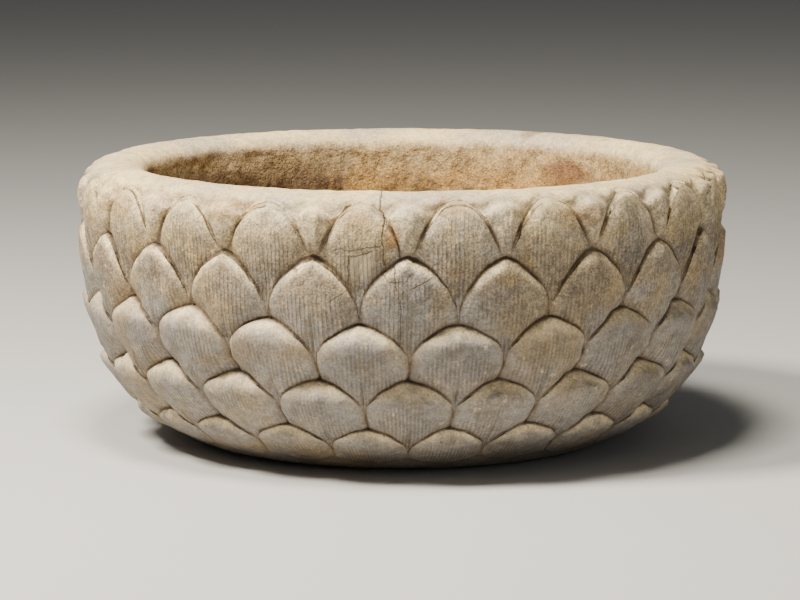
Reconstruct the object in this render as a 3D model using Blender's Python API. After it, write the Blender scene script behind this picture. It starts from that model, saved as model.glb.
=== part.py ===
# Marble jardiniere: a round basin cut from one block of stone, its outside carved with
# rows of overlapping lotus petals. It is a single solid that stands on its flat underside.
# Metres, +Z up, origin at the middle of the underside, the side in the picture towards -Y.
import math

import bmesh
import bpy
from mathutils import Vector

# Driving dimensions of the basin
HEIGHT = 0.264
FOOT_RADIUS = 0.188
BELLY_RADIUS = 0.3045
BELLY_HEIGHT = 0.220
SHOULDER_LEAN = 0.010
WALL_THICKNESS = 0.066
FLOOR_THICKNESS = 0.055
HOLLOW_TAPER = 0.020
HOLLOW_CORNER = 0.050
RIM_OUTER_ROUND = 0.012
RIM_INNER_ROUND = 0.020
RIM_INNER_WIDTH = 0.030

# Driving dimensions of the carving
PETALS_PER_ROW = 22
PETAL_TURN = math.radians(1.2)
FOOT_ROW_PROUD = 0.0050
SECOND_ROW_PROUD = 0.0065
THIRD_ROW_PROUD = 0.0055
FOURTH_ROW_PROUD = 0.0045
RIM_ROW_PROUD = 0.0030
FILLER_PROUD = 0.0025
PETAL_SUNK = 0.0060
FILLER_SUNK = 0.0040
FILLER_SPAN = 0.0300
PETAL_CROWN = 0.0015
RISER = 0.0020
LEAST_STEP = 0.0010
FOOT_BAND_RELIEF = 0.0030
HAND_WANDER = 0.0008
FOOT_ROW_WAVE = 0.0030
SECOND_ROW_WAVE = 0.0075
THIRD_ROW_WAVE = 0.0070
FOURTH_ROW_WAVE = 0.0020
RIM_ROW_LIFT = 0.0015

# Shares that give the belly its curve and the petals their outline
BELLY_CURVE = 3.0
FOOT_FLARE = 0.64
PETAL_SLOPE = 0.7
PETAL_START = 0.6
FILLER_TOP_SHARE = 0.4
SIDE_ROUND = 5.0
LOWER_ARCH = (1.3, 0.5)
RIM_ARCH = (2.0, 0.66)
FILLER_ARCH = (2.0, 0.75)

# Rows of petals from the foot up: tip height and height of the touching point of two
# neighbours, both as shares of the basin's height
FOOT_ROW = (0.180, 0.090)
SECOND_ROW = (0.352, 0.235)
THIRD_ROW = (0.558, 0.422)
FOURTH_ROW = (0.788, 0.568)
RIM_ROW = (0.966, 0.664)
FILLER_ROW = (0.970, 0.724)
BAND_TOP = (0.038, 0.068)

# Facets
STEPS_PER_HALF_PETAL = 4
STEP_CROWDING = 0.56
RINGS_UP_A_PETAL = (0.0, 0.55, 1.0)
RIM_STEPS = 3
LIP_STEPS = 2
RIM_START_TURN = 9.0
CORNER_STEPS = 2

HALF_PITCH = math.pi / PETALS_PER_ROW
COLUMNS = 2 * PETALS_PER_ROW * STEPS_PER_HALF_PETAL
CREST_RADIUS = BELLY_RADIUS - WALL_THICKNESS + RIM_INNER_WIDTH


class Row:
    """One row of petals: its tips, its touching points and how far it stands proud."""

    def __init__(self, heights, staggered, arch, proud, wave=0.0, lift=0.0):
        self.tip = heights[0] * HEIGHT
        self.touch = heights[1] * HEIGHT
        self.staggered = staggered
        self.arch = arch
        self.proud = proud
        self.wave = wave
        self.lift = lift

    def across(self, angle):
        """Place across the petal at this angle: 0 on its middle line, 1 at its side."""
        turn = angle / HALF_PITCH + (1.0 if self.staggered else 0.0)
        return abs((turn + 1.0) % 2.0 - 1.0)

    def top(self, angle):
        """Height of the petal's arched edge at this angle."""
        point, flank = self.arch
        fall = 1.0 - (1.0 - self.across(angle) ** point) ** flank
        return self.tip - (self.tip - self.touch) * fall + self.wander(angle)

    def wander(self, angle):
        """How far the row strays from level: it was set out by eye, higher at four corners."""
        start = self.tip / HEIGHT * math.tau
        small = HAND_WANDER * (math.sin(2 * angle + start) + math.sin(5 * angle - 2 * start))
        corners = self.wave * (1.0 - math.cos(4 * angle)) / 2.0
        return small + corners + self.lift * math.sin(angle)


def side_radius(height):
    """Radius of the basin's side: it swells up to the belly and leans in a little above it."""
    if height < BELLY_HEIGHT:
        share = (1.0 - (1.0 - height / BELLY_HEIGHT) ** BELLY_CURVE) ** FOOT_FLARE
        return FOOT_RADIUS + (BELLY_RADIUS - FOOT_RADIUS) * share
    lean = (height - BELLY_HEIGHT) / (HEIGHT - BELLY_HEIGHT)
    return BELLY_RADIUS - SHOULDER_LEAN * lean ** 2


def ground_radius(height):
    """Radius of the smooth outside that the petals are carved on, rounded at the rim."""
    rim_start = HEIGHT - RIM_OUTER_ROUND
    if height <= rim_start:
        return side_radius(height)
    rise = min(1.0, (height - rim_start) / RIM_OUTER_ROUND)
    return CREST_RADIUS + (side_radius(rim_start) - CREST_RADIUS) * math.sqrt(1.0 - rise ** 2)


def side_fall(across):
    """0 on the middle line of a petal, rising to 1 in the groove beside it."""
    return across ** SIDE_ROUND


def petal_radius(row, bottom, height, angle):
    """Radius of a petal's face: sunk at its foot, proud at its tip, lower at its sides."""
    across = row.across(angle)
    rise = (height - bottom) / (row.tip - bottom)
    rise = min(1.0, max(0.0, rise)) ** PETAL_SLOPE
    crown = PETAL_CROWN * (1.0 - across ** 2) * math.sin(math.pi * rise)
    proud = row.proud * rise + crown
    return ground_radius(height) - PETAL_SUNK * (1.0 - rise) + (1.0 - side_fall(across)) * proud


def filler_radius(row, step, height, span):
    """Radius of a small petal between two tips: a bump with a groove on either side."""
    rise = min(1.0, max(0.0, (height - row.touch) / (row.tip - row.touch)))
    swell = math.sin(math.pi * step) + FILLER_TOP_SHARE * step
    proud = row.proud * swell * min(1.0, span / FILLER_SPAN)
    return ground_radius(height) + proud - FILLER_SUNK * (1.0 - step) * (1.0 - rise)


def band_top(angle, rows):
    """Height where the plain band at the foot ends and the lowest petals begin."""
    low, high = BAND_TOP
    return HEIGHT * (low + (high - low) * rows[0].across(angle) ** 2)


def outer_ring(rows, index, step, angle):
    """Radius and height of one ring of the carved outside at this angle."""
    row = rows[index]
    if index == 0:
        start = band_top(angle, rows) + RISER
        bottom = BAND_TOP[0] * HEIGHT
    else:
        below = rows[index - 1]
        start = below.top(angle) + RISER
        bottom = below.touch + (below.tip - below.touch) * PETAL_START
    span = max(LEAST_STEP, row.top(angle) - start)
    height = start + span * step
    if row is rows[-1]:
        return filler_radius(row, step, height, span), height
    if index == 0 and step == 0.0:
        return ground_radius(height) - PETAL_SUNK * side_fall(row.across(angle)), height
    return petal_radius(row, bottom, height, angle), height


def make_rows():
    """The five rows of petals and the small fillers between the tips of the rim row."""
    return [
        Row(FOOT_ROW, True, LOWER_ARCH, FOOT_ROW_PROUD, wave=FOOT_ROW_WAVE),
        Row(SECOND_ROW, False, LOWER_ARCH, SECOND_ROW_PROUD, wave=SECOND_ROW_WAVE),
        Row(THIRD_ROW, True, LOWER_ARCH, THIRD_ROW_PROUD, wave=THIRD_ROW_WAVE),
        Row(FOURTH_ROW, False, LOWER_ARCH, FOURTH_ROW_PROUD, wave=FOURTH_ROW_WAVE),
        Row(RIM_ROW, True, RIM_ARCH, RIM_ROW_PROUD, lift=RIM_ROW_LIFT),
        Row(FILLER_ROW, False, FILLER_ARCH, FILLER_PROUD, lift=RIM_ROW_LIFT),
    ]


def rim_ring(step, rows, angle):
    """Radius and height of one ring of the rim's outer round, always above the petals."""
    turn = math.radians(RIM_START_TURN + (90.0 - RIM_START_TURN) * step / RIM_STEPS)
    height = HEIGHT - RIM_OUTER_ROUND * (1.0 - math.sin(turn))
    petals_end = max(rows[-1].top(angle), rows[-2].top(angle) + RISER + LEAST_STEP)
    if step == 1:
        height = max(height, petals_end + LEAST_STEP / 2.0)
    return ground_radius(height), height


def lip_and_hollow():
    """Radius and height of the rings from the rim's crest down to the hollow's floor."""
    rings = []
    opening = BELLY_RADIUS - WALL_THICKNESS
    for step in range(1, LIP_STEPS + 1):
        turn = math.radians(90.0) * step / LIP_STEPS
        radius = opening + RIM_INNER_WIDTH * (1.0 - math.sin(turn))
        rings.append((radius, HEIGHT - RIM_INNER_ROUND * (1.0 - math.cos(turn))))
    for step in range(CORNER_STEPS + 1):
        turn = math.radians(90.0) * step / CORNER_STEPS
        radius = opening - HOLLOW_TAPER - HOLLOW_CORNER * (1.0 - math.cos(turn))
        rings.append((radius, FLOOR_THICKNESS + HOLLOW_CORNER * (1.0 - math.sin(turn))))
    return rings


def ring_makers():
    """One function of the angle for each ring of the solid, from the underside up and in."""
    rows = make_rows()
    makers = [lambda angle: (FOOT_RADIUS, 0.0)]

    def band(angle):
        height = band_top(angle, rows)
        return ground_radius(height) - FOOT_BAND_RELIEF, height

    makers.append(band)
    for index in range(len(rows)):
        for step in RINGS_UP_A_PETAL:
            makers.append(lambda angle, i=index, s=step: outer_ring(rows, i, s, angle))
    for step in range(1, RIM_STEPS + 1):
        makers.append(lambda angle, s=step: rim_ring(s, rows, angle))
    for radius, height in lip_and_hollow():
        makers.append(lambda angle, r=radius, h=height: (r, h))
    return makers


def crowd(angle):
    """Moves the even columns of facets towards the middle lines and sides of the petals."""
    turn = angle / HALF_PITCH
    return HALF_PITCH * (turn - STEP_CROWDING * math.sin(math.tau * turn) / math.tau)


def basin_mesh():
    """Spins the outline round, then moves each ring to its carved place."""
    bm = bmesh.new()
    ring_of = bm.verts.layers.int.new("ring")
    makers = ring_makers()
    verts = []
    for index, maker in enumerate(makers):
        radius, height = maker(0.0)
        vert = bm.verts.new((radius, 0.0, height))
        vert[ring_of] = index
        verts.append(vert)
    edges = [bm.edges.new(pair) for pair in zip(verts, verts[1:])]
    bmesh.ops.spin(
        bm, geom=verts + edges, axis=(0, 0, 1), cent=(0, 0, 0),
        angle=math.tau, steps=COLUMNS, use_merge=True,
    )
    for vert in bm.verts:
        angle = crowd(math.atan2(vert.co.y, vert.co.x))
        radius, height = makers[vert[ring_of]](angle)
        front = angle + PETAL_TURN - math.radians(90.0)
        vert.co = Vector((radius * math.cos(front), radius * math.sin(front), height))
    rims = [edge for edge in bm.edges if edge.is_boundary]
    bmesh.ops.edgeloop_fill(bm, edges=rims)
    bmesh.ops.recalc_face_normals(bm, faces=bm.faces)
    mesh = bpy.data.meshes.new("basin")
    bm.to_mesh(mesh)
    bm.free()
    mesh.shade_smooth()
    mesh.set_sharp_from_angle(angle=math.radians(40.0))
    return mesh


def marble():
    """Weathered white marble, warm grey."""
    material = bpy.data.materials.new("marble")
    material.use_nodes = True
    shader = material.node_tree.nodes["Principled BSDF"]
    shader.inputs["Base Color"].default_value = (0.47, 0.41, 0.33, 1.0)
    shader.inputs["Roughness"].default_value = 0.72
    shader.inputs["Metallic"].default_value = 0.0
    return material


def main():
    for old in list(bpy.data.objects):
        bpy.data.objects.remove(old)
    basin = bpy.data.objects.new("basin", basin_mesh())
    basin.data.materials.append(marble())
    bpy.context.scene.collection.objects.link(basin)
    print("basin faces:", len(basin.data.polygons))


main()
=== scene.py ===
# %% [markdown]
# The object is a marble jardiniere: a low round basin cut from one block of stone, with
# five rows of lotus petals carved over its outside like scales. The plain solid already
# exists, so this lesson makes the finely carved surface that stands in for it. The first
# step loads that solid and keeps its box, because the carving has to stay inside it.

# %% Load the plain solid
import math

import bmesh
import bpy
import numpy as np
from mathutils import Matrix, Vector, noise


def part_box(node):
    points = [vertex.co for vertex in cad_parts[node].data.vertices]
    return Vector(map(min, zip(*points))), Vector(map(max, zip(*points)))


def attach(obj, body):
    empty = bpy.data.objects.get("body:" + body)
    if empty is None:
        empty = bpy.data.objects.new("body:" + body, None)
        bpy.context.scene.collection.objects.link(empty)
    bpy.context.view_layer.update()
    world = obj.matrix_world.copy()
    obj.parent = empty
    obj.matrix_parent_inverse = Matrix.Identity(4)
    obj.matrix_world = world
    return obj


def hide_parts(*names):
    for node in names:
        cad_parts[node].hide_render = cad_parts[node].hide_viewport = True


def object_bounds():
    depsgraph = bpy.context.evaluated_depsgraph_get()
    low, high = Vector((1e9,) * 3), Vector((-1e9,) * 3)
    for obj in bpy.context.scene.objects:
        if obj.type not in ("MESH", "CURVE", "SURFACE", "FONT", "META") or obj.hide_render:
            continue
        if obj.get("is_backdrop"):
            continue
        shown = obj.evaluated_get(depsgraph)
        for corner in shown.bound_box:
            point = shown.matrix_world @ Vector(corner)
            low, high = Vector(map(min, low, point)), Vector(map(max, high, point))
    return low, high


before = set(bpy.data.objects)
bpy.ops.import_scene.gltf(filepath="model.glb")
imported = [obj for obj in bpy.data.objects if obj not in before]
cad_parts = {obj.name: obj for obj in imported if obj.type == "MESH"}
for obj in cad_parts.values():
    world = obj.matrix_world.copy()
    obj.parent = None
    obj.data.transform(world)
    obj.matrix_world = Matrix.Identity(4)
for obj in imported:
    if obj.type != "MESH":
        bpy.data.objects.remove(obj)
solid_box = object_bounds()
low_corner, high_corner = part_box("basin")
HEIGHT = high_corner.z - low_corner.z
WIDEST_RADIUS = (high_corner.x - low_corner.x) / 2
print("basin", round(2 * WIDEST_RADIUS, 3), "m across and", round(HEIGHT, 3), "m high")

# %% [markdown]
# A picture of a museum piece is usually taken from far away with a long lens, which keeps
# the ellipse of the rim flat. The distance and the lens below were worked out from the
# curve of the rim and the places of the petal tips.

# %% Camera
PICTURE_WIDTH = 800
FOCAL_PIXELS = 3552
SENSOR_WIDTH = 36.0
CAMERA_DISTANCE = 3.388
CAMERA_RISE = math.radians(8.64)
AIM = Vector((-0.0018, 0.0, 0.1265))

camera_data = bpy.data.cameras.new("camera")
camera_data.sensor_width = SENSOR_WIDTH
camera_data.lens = FOCAL_PIXELS / PICTURE_WIDTH * SENSOR_WIDTH
camera = bpy.data.objects.new("camera", camera_data)
bpy.context.scene.collection.objects.link(camera)
back = Vector((0.0, -math.cos(CAMERA_RISE), math.sin(CAMERA_RISE)))
camera.location = AIM + CAMERA_DISTANCE * back
camera.rotation_euler = (-back).to_track_quat("-Z", "Y").to_euler()
bpy.context.scene.camera = camera
print("lens", round(camera_data.lens, 1), "mm")

# %% [markdown]
# Carved relief only shows when light rakes over it. The main lamp stands high on the left
# and is small enough to draw the edges. A second one, almost overhead, brightens the rim
# and the tips that lean back, and a wide weak one low on the right opens the shadows.

# %% Lamps
SKY_TINT = (0.80, 0.82, 0.85, 1.0)
SKY_STRENGTH = 0.10


def lamp(name, azimuth, rise, distance, size, power, tint):
    """A square area lamp that looks at the basin from a direction given in degrees."""
    data = bpy.data.lights.new(name, "AREA")
    data.size = size
    data.energy = power
    data.color = tint
    made = bpy.data.objects.new(name, data)
    bpy.context.scene.collection.objects.link(made)
    side, up = math.radians(azimuth), math.radians(rise)
    away = Vector((math.sin(side) * math.cos(up), -math.cos(side) * math.cos(up), math.sin(up)))
    made.location = AIM + distance * away
    made.rotation_euler = away.to_track_quat("Z", "Y").to_euler()
    return made


lamps = [
    lamp("key_lamp", azimuth=-60, rise=52, distance=2.4, size=0.5, power=132.0, tint=(1.0, 0.92, 0.80)),
    lamp("top_lamp", azimuth=-22, rise=74, distance=2.4, size=0.6, power=84.0, tint=(1.0, 0.93, 0.82)),
    lamp("fill_lamp", azimuth=50, rise=14, distance=3.0, size=1.6, power=5.0, tint=(0.95, 0.97, 1.0)),
]
world = bpy.data.worlds.new("studio")
world.use_nodes = True
sky = world.node_tree.nodes["Background"]
sky.inputs["Color"].default_value = SKY_TINT
sky.inputs["Strength"].default_value = SKY_STRENGTH
bpy.context.scene.world = world
print(len(lamps), "lamps and a dim sky")

# %% [markdown]
# The basin stands on a plain floor, so wide that no edge of it shows. Being pale, the
# floor throws some light back under the belly. It is only the stage, no part of the basin.

# %% Floor
FLOOR_SIZE = 30.0

bm = bmesh.new()
bmesh.ops.create_grid(bm, x_segments=1, y_segments=1, size=FLOOR_SIZE / 2)
floor_mesh = bpy.data.meshes.new("floor")
bm.to_mesh(floor_mesh)
bm.free()
floor = bpy.data.objects.new("floor", floor_mesh)
bpy.context.scene.collection.objects.link(floor)
floor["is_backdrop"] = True
print("floor", FLOOR_SIZE, "m wide")

# %% [markdown]
# A carver first turns the blank: foot, belly, shoulder, rim and hollow. The same outline
# is a formula here. The belly swells fast above the foot and slowly near its widest
# place, which a power of the height gives, and the rim is a quarter of an ellipse.

# %% Outline of the blank
FOOT_RADIUS = 0.188
BELLY_RADIUS = 0.3045
BELLY_HEIGHT = 0.220
BELLY_CURVE = 3.0
FOOT_FLARE = 0.64
SHOULDER_LEAN = 0.010
RIM_OUTER_ROUND = 0.012
RIM_INNER_ROUND = 0.020
RIM_INNER_WIDTH = 0.030
WALL_THICKNESS = 0.066
FLOOR_THICKNESS = 0.055
HOLLOW_TAPER = 0.020
HOLLOW_CORNER = 0.050
OPENING_RADIUS = BELLY_RADIUS - WALL_THICKNESS
CREST_RADIUS = OPENING_RADIUS + RIM_INNER_WIDTH
RIM_START = HEIGHT - RIM_OUTER_ROUND


def side_radius(height):
    """Radius of the plain side: it swells to the belly and leans in a little above it."""
    below = np.clip(1.0 - height / BELLY_HEIGHT, 0.0, 1.0)
    swell = FOOT_RADIUS + (BELLY_RADIUS - FOOT_RADIUS) * (1.0 - below ** BELLY_CURVE) ** FOOT_FLARE
    lean = np.clip((height - BELLY_HEIGHT) / (HEIGHT - BELLY_HEIGHT), 0.0, 1.0)
    return swell - SHOULDER_LEAN * lean ** 2


def ground_radius(height):
    """Radius of the surface that the petals are carved on, rounded over at the rim."""
    rise = np.clip((height - RIM_START) / RIM_OUTER_ROUND, 0.0, 1.0)
    plain = side_radius(np.minimum(height, RIM_START))
    return CREST_RADIUS + (plain - CREST_RADIUS) * np.sqrt(1.0 - rise ** 2)


print("widest ground radius", round(float(ground_radius(np.array(BELLY_HEIGHT))), 4))

# %% [markdown]
# The petals are set out as a lattice. Each row has the same number of petals and is
# turned by half a petal against the next, so the tip of one petal sits where two petals
# of the row above touch. A petal's top edge is one arch, and its lower edges are the
# arches of the row below, which overlaps it. So it is enough to know the arches.

# %% Rows of petals
PETALS = 22
HALF_PITCH = math.pi / PETALS
PETAL_TURN = math.radians(1.2)
HAND_WANDER = 0.0008
RIM_LIFT = 0.0015
BAND_TOP = (0.038 * HEIGHT, 0.068 * HEIGHT)
LOWER_ARCH = (1.3, 0.5)


class Row:
    """One row of petals: where its tips and touching points lie and how it is carved."""

    def __init__(self, name, tip, touch, staggered, arch, sunk, proud, wave, lift, tip_lip, side_lip):
        self.name = name
        self.tip = tip * HEIGHT
        self.touch = touch * HEIGHT
        self.staggered = staggered
        self.arch = arch
        self.sunk = sunk
        self.proud = proud
        self.wave = wave
        self.lift = lift
        self.tip_lip = tip_lip
        self.side_lip = side_lip

    def turned(self, angle):
        """Angle counted in half petals, so that even numbers are middle lines."""
        return angle / HALF_PITCH + (1.0 if self.staggered else 0.0)

    def across(self, angle):
        """0 on the middle line of a petal, 1 where it touches its neighbour."""
        return np.abs((self.turned(angle) + 1.0) % 2.0 - 1.0)

    def top(self, angle):
        """Height of the arched edge at this angle."""
        point, flank = self.arch
        fall = 1.0 - (1.0 - np.minimum(self.across(angle), 1.0) ** point) ** flank
        return self.tip - (self.tip - self.touch) * fall + self.wander(angle)

    def wander(self, angle):
        """How far the row strays from level: it was set out by eye, higher at four corners."""
        start = self.tip / HEIGHT * math.tau
        small = HAND_WANDER * (np.sin(2 * angle + start) + np.sin(5 * angle - 2 * start))
        corners = self.wave * (1.0 - np.cos(4 * angle)) / 2.0
        return small + corners + self.lift * np.sin(angle)


# A lip is how wide the rounded edge is, how far it falls and how round it is, given for
# the tip and then for the sides of a petal.
ROWS = [
    Row("foot", 0.180, 0.090, True, LOWER_ARCH, 0.0060, 0.0052, 0.0030, 0.0,
        (0.011, 0.0115, 1.05), (0.007, 0.0026, 2.0)),
    Row("second", 0.352, 0.235, False, LOWER_ARCH, 0.0080, 0.0070, 0.0075, 0.0,
        (0.014, 0.0160, 1.05), (0.008, 0.0036, 2.0)),
    Row("third", 0.558, 0.422, True, LOWER_ARCH, 0.0085, 0.0058, 0.0070, 0.0,
        (0.013, 0.0122, 1.10), (0.008, 0.0036, 2.0)),
    Row("fourth", 0.788, 0.568, False, LOWER_ARCH, 0.0072, 0.0039, 0.0020, 0.0,
        (0.010, 0.0062, 1.35), (0.008, 0.0034, 2.0)),
    Row("rim", 0.966, 0.664, True, (2.15, 0.63), 0.0062, 0.0035, 0.0, RIM_LIFT,
        (0.010, 0.0018, 2.0), (0.009, 0.0030, 2.0)),
    Row("filler", 0.970, 0.724, False, (2.0, 0.75), 0.0022, 0.0, 0.0, RIM_LIFT,
        (0.008, 0.0014, 2.0), (0.006, 0.0014, 2.0)),
]
RIM_ROW = 4
for row in ROWS:
    print(row.name, "row: tips at", round(row.tip * 1000), "mm")

# %% [markdown]
# To carve crisp edges without millions of faces, the rings of the mesh follow the arches.
# Close to an arch they lie under a millimetre apart, and in the middle of a petal further
# apart. The columns crowd in the same way towards the middle lines and sides.

# %% Plan of the rings
COLUMNS_PER_HALF_PETAL = 13
COLUMNS = 2 * PETALS * COLUMNS_PER_HALF_PETAL
COLUMN_CROWDING = 0.45
RISER = 0.0013
LEAST_SPAN = 0.0012
FROM_BELOW = (0.0, 0.0007, 0.0016, 0.0030, 0.0050)
TO_THE_TOP = (0.0130, 0.0100, 0.0075, 0.0054, 0.0037, 0.0023, 0.0012, 0.0004, 0.0)
BETWEEN = 6
LEAST_MIDDLE = 0.006
SHORT_SPAN = FROM_BELOW[-1] + TO_THE_TOP[0] + LEAST_MIDDLE
BAND_RINGS = 4
RIM_RINGS = 9
LIP_RINGS = 9
WALL_RINGS = 16
WALL_CROWDING = 1.7
CORNER_RINGS = 7


def ring_plan():
    """Every ring from the underside up, over the rim and down to the hollow's floor."""
    plan = [("underside", 0, 0.0)]
    plan += [("band", 0, step / BAND_RINGS) for step in range(1, BAND_RINGS + 1)]
    for index in range(len(ROWS)):
        plan += [("below", index, value) for value in FROM_BELOW]
        plan += [("between", index, step / (BETWEEN + 1)) for step in range(1, BETWEEN + 1)]
        plan += [("top", index, value) for value in TO_THE_TOP]
    plan += [("rim", 0, step / RIM_RINGS) for step in range(1, RIM_RINGS + 1)]
    plan += [("lip", 0, step / LIP_RINGS) for step in range(1, LIP_RINGS + 1)]
    plan += [("wall", 0, (step / WALL_RINGS) ** WALL_CROWDING) for step in range(1, WALL_RINGS + 1)]
    plan += [("corner", 0, step / CORNER_RINGS) for step in range(1, CORNER_RINGS + 1)]
    return plan


PLAN = ring_plan()
print(len(PLAN), "rings of", COLUMNS, "columns")

# %% [markdown]
# Spinning the outline gives the turned blank. Each vertex remembers its ring in an
# integer layer, which the spin copies to every column, so the carving knows later which
# arch it belongs to. The two open ends are filled: the underside and the hollow's floor.

# %% Spin the blank
LATEST_START = 0.97


def lower_edge(index, angle):
    """Height where the petals of a row come out from behind the rows below."""
    if index == 0:
        low, high = BAND_TOP
        return low + (high - low) * ROWS[0].across(angle) ** 2
    return upper_edge(index - 1, angle) + RISER


def upper_edge(index, angle):
    """Height of a row's arches, never lower than its own lower edge."""
    return np.maximum(ROWS[index].top(angle), lower_edge(index, angle) + LEAST_SPAN)


def ring_height(kind, index, value, angle):
    """Height of one ring of the outside at these angles."""
    if kind == "underside":
        return np.zeros_like(angle)
    start = lower_edge(index, angle)
    if kind == "band":
        return start * value
    span = upper_edge(index, angle) - start
    short = np.minimum(1.0, span / SHORT_SPAN)
    if kind == "below":
        return start + value * short
    if kind == "top":
        return start + span - value * short
    first = FROM_BELOW[-1] * short
    last = TO_THE_TOP[0] * short
    return start + first + (span - first - last) * value


def hollow_ring(kind, value, angle):
    """Radius and height of a ring of the rim or the hollow."""
    quarter = math.pi / 2
    if kind == "rim":
        above = (upper_edge(len(ROWS) - 1, angle) + RISER / 2 - RIM_START) / RIM_OUTER_ROUND
        first = np.where(above > 0.0, np.arcsin(np.clip(above, 0.0, LATEST_START)), above)
        arc = first + (quarter - first) * value
        height = RIM_START + RIM_OUTER_ROUND * np.where(arc > 0.0, np.sin(arc), arc)
        return ground_radius(height), height
    if kind == "lip":
        radius = CREST_RADIUS - RIM_INNER_WIDTH * math.sin(quarter * value)
        height = HEIGHT - RIM_INNER_ROUND * (1.0 - math.cos(quarter * value))
    elif kind == "wall":
        radius = OPENING_RADIUS - HOLLOW_TAPER * value
        depth = HEIGHT - RIM_INNER_ROUND - FLOOR_THICKNESS - HOLLOW_CORNER
        height = HEIGHT - RIM_INNER_ROUND - depth * value
    else:
        radius = OPENING_RADIUS - HOLLOW_TAPER - HOLLOW_CORNER * (1.0 - math.cos(quarter * value))
        height = FLOOR_THICKNESS + HOLLOW_CORNER * (1.0 - math.sin(quarter * value))
    return np.full_like(angle, radius), np.full_like(angle, height)


def turned_blank():
    """The spun mesh with its ring numbers, open ends filled."""
    made = bmesh.new()
    ring_layer = made.verts.layers.int.new("ring")
    start = np.zeros(1)
    outline = []
    for number, (kind, index, value) in enumerate(PLAN):
        if kind in ("rim", "lip", "wall", "corner"):
            radius, height = hollow_ring(kind, value, start)
        else:
            height = ring_height(kind, index, value, start)
            radius = ground_radius(height)
        vert = made.verts.new((float(radius[0]), 0.0, float(height[0])))
        vert[ring_layer] = number
        outline.append(vert)
    chain = [made.edges.new(pair) for pair in zip(outline, outline[1:])]
    bmesh.ops.spin(
        made, geom=outline + chain, axis=(0, 0, 1), cent=(0, 0, 0),
        angle=math.tau, steps=COLUMNS, use_merge=True,
    )
    ends = [edge for edge in made.edges if edge.is_boundary]
    bmesh.ops.edgeloop_fill(made, edges=ends)
    bmesh.ops.recalc_face_normals(made, faces=made.faces)
    mesh = bpy.data.meshes.new("carved_basin")
    made.to_mesh(mesh)
    made.free()
    return mesh


basin_mesh = turned_blank()
print("blank:", len(basin_mesh.vertices), "vertices")

# %% [markdown]
# Carving moves the rings. A petal's face is sunk where it comes out from behind the row
# below and stands proud at its tip, it is slightly crowned, and it rounds over along its
# arch. On the lower rows the tip leans back in a crescent that catches the light. The foot
# of each petal is tucked in a small step behind the edge below it, so that the rows
# overlap like scales, and a narrow groove is cut between neighbours.

# %% Forms of the petals
PETAL_START = 0.6
PETAL_SLOPE = 0.7
PETAL_CROWN = 0.0028
SIDE_ROUND = 3.2
TIP_ZONE = (0.15, 0.80)
STEP_SIDE = 0.0014
STEP_TIP = 0.0024
TUCK_REACH = 0.017
SMALL_ANGLE = 1e-4


def smooth(value, start, end):
    """Eases from 0 at start to 1 at end."""
    share = np.clip((value - start) / (end - start), 0.0, 1.0)
    return share * share * (3.0 - 2.0 * share)


def true_distance(rise, edge, index, angle, radius):
    """Distance to an arch along the surface, from the height above or below it."""
    ahead = edge(index, angle + SMALL_ANGLE)
    behind = edge(index, angle - SMALL_ANGLE)
    steepness = (ahead - behind) / (2 * SMALL_ANGLE * radius)
    return rise / np.sqrt(1.0 + steepness ** 2)


def lip_fall(row, across, to_top):
    """How far the rounded edge has fallen, how wide it is, and how near the tip it is."""
    tipness = smooth(1.0 - across, *TIP_ZONE)
    width, drop, power = (
        side + (tip - side) * tipness for tip, side in zip(row.tip_lip, row.side_lip)
    )
    return drop * (1.0 - np.clip(to_top / width, 0.0, 1.0)) ** power, width, tipness


def petal_face(index, height, angle, to_top):
    """Offset of the smooth face of a petal, before grooves are cut."""
    row = ROWS[index]
    across = row.across(angle)
    bottom = BAND_TOP[0]
    if index:
        below = ROWS[index - 1]
        bottom = below.touch + (below.tip - below.touch) * PETAL_START
    rise = np.clip((height - bottom) / (row.tip - bottom), 0.0, 1.0) ** PETAL_SLOPE
    crown = PETAL_CROWN * (1.0 - across ** 2) * np.sin(math.pi * rise)
    face = row.proud * rise + crown - lip_fall(row, across, to_top)[0]
    return -row.sunk * (1.0 - rise) + (1.0 - across ** SIDE_ROUND) * face


def tuck_in(index, angle, start, span, to_below):
    """Moves the foot of a petal to a small step behind the edge of the row below."""
    near_tip = (1.0 - ROWS[index - 1].across(angle)) ** 1.5
    step = STEP_SIDE + (STEP_TIP - STEP_SIDE) * near_tip
    wanted = petal_face(index - 1, upper_edge(index - 1, angle), angle, 0.0) - step
    return (wanted - petal_face(index, start, angle, span)) * (1.0 - smooth(to_below, 0.0, TUCK_REACH))


middle = petal_face(2, np.array([ROWS[2].tip - 0.02]), np.array([HALF_PITCH]), np.array([0.02]))
print("a third-row petal stands", round(1000 * float(middle[0]), 1), "mm out near its tip")

# %% [markdown]
# Small filler petals stand under the rim in the gaps between the large tips. They are
# domes that rise out of the groove, and the rim is cut back a little above them. The rim
# has been handled most, and its carving is a little more worn on the left.

# %% Fillers and rim
FILLER_BULGE = 0.0066
FILLER_LOW_SHARE = 0.45
FILLER_SWELL = (0.35, 0.85)
FILLER_CUT = 0.0015
FILLER_SLOPE = 0.0055
FILLER_TOP_ROUND = 0.0075
RIM_CUT = 0.0045
LEAST_RIM_CUT = 0.4
STRIP_CUT = 0.6 * RIM_CUT
RIM_FADE = (0.90 * HEIGHT, 0.975 * HEIGHT)
LEAST_CRISP = 0.88


def crispness(angle):
    """How sharp the carving under the rim still is: worn on the left, fresh on the right."""
    side = (angle + math.pi) % math.tau - math.pi
    fresh = smooth(side, -0.35, 0.75) * (1.0 - 0.5 * smooth(side, 2.2, 3.1))
    return LEAST_CRISP + (1.0 - LEAST_CRISP) * fresh


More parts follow.
